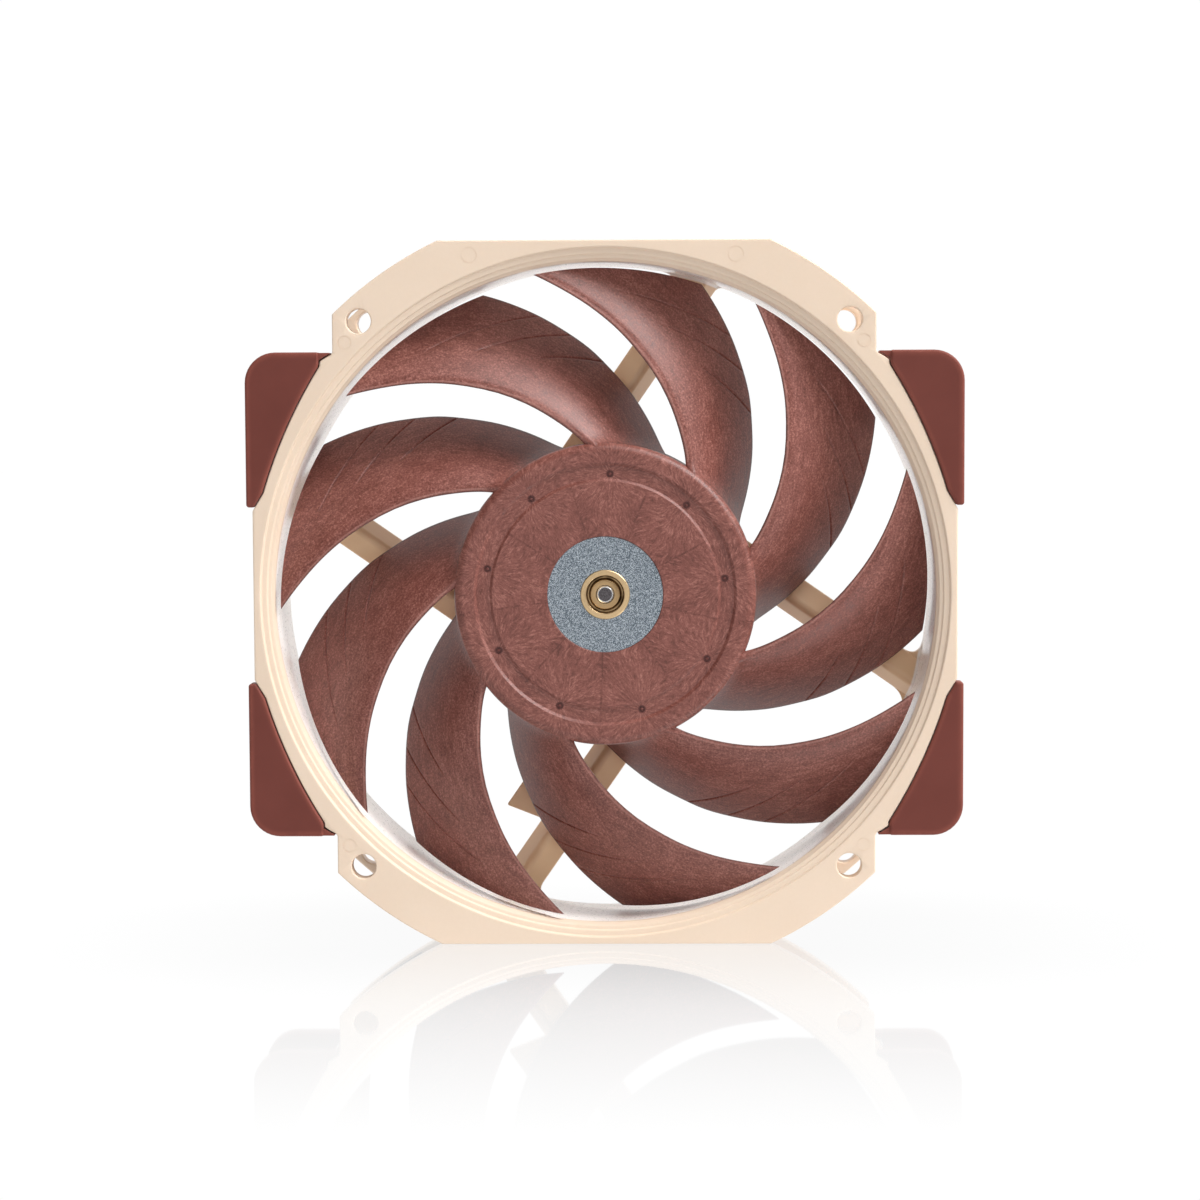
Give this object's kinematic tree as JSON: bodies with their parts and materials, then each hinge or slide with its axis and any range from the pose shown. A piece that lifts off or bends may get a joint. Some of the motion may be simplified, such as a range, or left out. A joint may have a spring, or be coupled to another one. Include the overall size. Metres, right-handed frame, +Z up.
{
  "type": "case fan",
  "caption": "Round-frame axial computer case fan with a stepped inlet, swept blades, tangential struts, screw ears, corner pads and a hub with an exposed steel centre.",
  "frame": {"origin": "on the rotor axis, at the middle of the frame's thickness; also the centre of the bounding box", "axes": "-Y towards the intake side that faces the viewer, +Y the way the air leaves, +Z up, +X to the viewer's right; the fan stands on its flat at -Z"},
  "size_m": [0.1222, 0.0254, 0.12],
  "materials": {
    "frame_plastic": "beige moulded plastic, fine satin grain",
    "impeller_plastic": "red-brown fibre-filled plastic with visible flow lines, satin",
    "pad_rubber": "soft red-brown silicone rubber, matt",
    "yoke_steel": "galvanised sheet, speckled blue-grey",
    "shaft_steel": "ground steel",
    "brass": "turned brass",
    "bronze": "sintered bronze",
    "ferrite": "bonded ferrite, dark grey",
    "lamination": "stacked electrical steel",
    "nylon": "natural nylon",
    "copper": "enamelled copper winding",
    "pcb": "green solder mask",
    "chip": "black epoxy package",
    "capacitor": "ceramic chip capacitor",
    "label": "blank printed foil",
    "black_plastic": "black moulded plastic",
    "sleeving": "black heat-shrink sleeving",
    "tin": "tinned phosphor bronze",
    "wire_black": "PVC insulation",
    "wire_yellow": "PVC insulation",
    "wire_green": "PVC insulation",
    "wire_blue": "PVC insulation"
  },
  "bodies": {
    "stator": {"bearing_shell": "brass", "bearing_sleeve": "bronze", "bias_magnet": "ferrite", "bobbin_front": "nylon", "bobbin_rear": "nylon", "cable_sleeve": "sleeving", "circuit_board": "pcb", "coil_1": "copper", "coil_2": "copper", "coil_3": "copper", "coil_4": "copper", "driver_chip": "chip", "filter_capacitor": "capacitor", "frame": "frame_plastic", "hall_sensor": "chip", "oil_seal_ring": "black_plastic", "pad_front_lower_left": "pad_rubber", "pad_front_lower_right": "pad_rubber", "pad_front_upper_left": "pad_rubber", "pad_front_upper_right": "pad_rubber", "pad_rear_lower_left": "pad_rubber", "pad_rear_lower_right": "pad_rubber", "pad_rear_upper_left": "pad_rubber", "pad_rear_upper_right": "pad_rubber", "plug_housing": "black_plastic", "rear_label": "label", "stator_core": "lamination", "terminal_1": "tin", "terminal_2": "tin", "terminal_3": "tin", "terminal_4": "tin", "thrust_disc": "nylon", "wire_1": "wire_black", "wire_2": "wire_yellow", "wire_3": "wire_green", "wire_4": "wire_blue"},
    "rotor": {"impeller": "impeller_plastic", "rotor_yoke": "yoke_steel", "hub_bushing": "brass", "shaft": "shaft_steel", "magnet_ring": "ferrite", "retaining_clip": "shaft_steel"}
  },
  "joints": [
    {"name": "rotor_spin", "type": "hinge", "parent": "stator", "child": "rotor", "pos_m": [0, 0, 0], "axis": [0, -1, 0], "continuous": true}
  ]
}
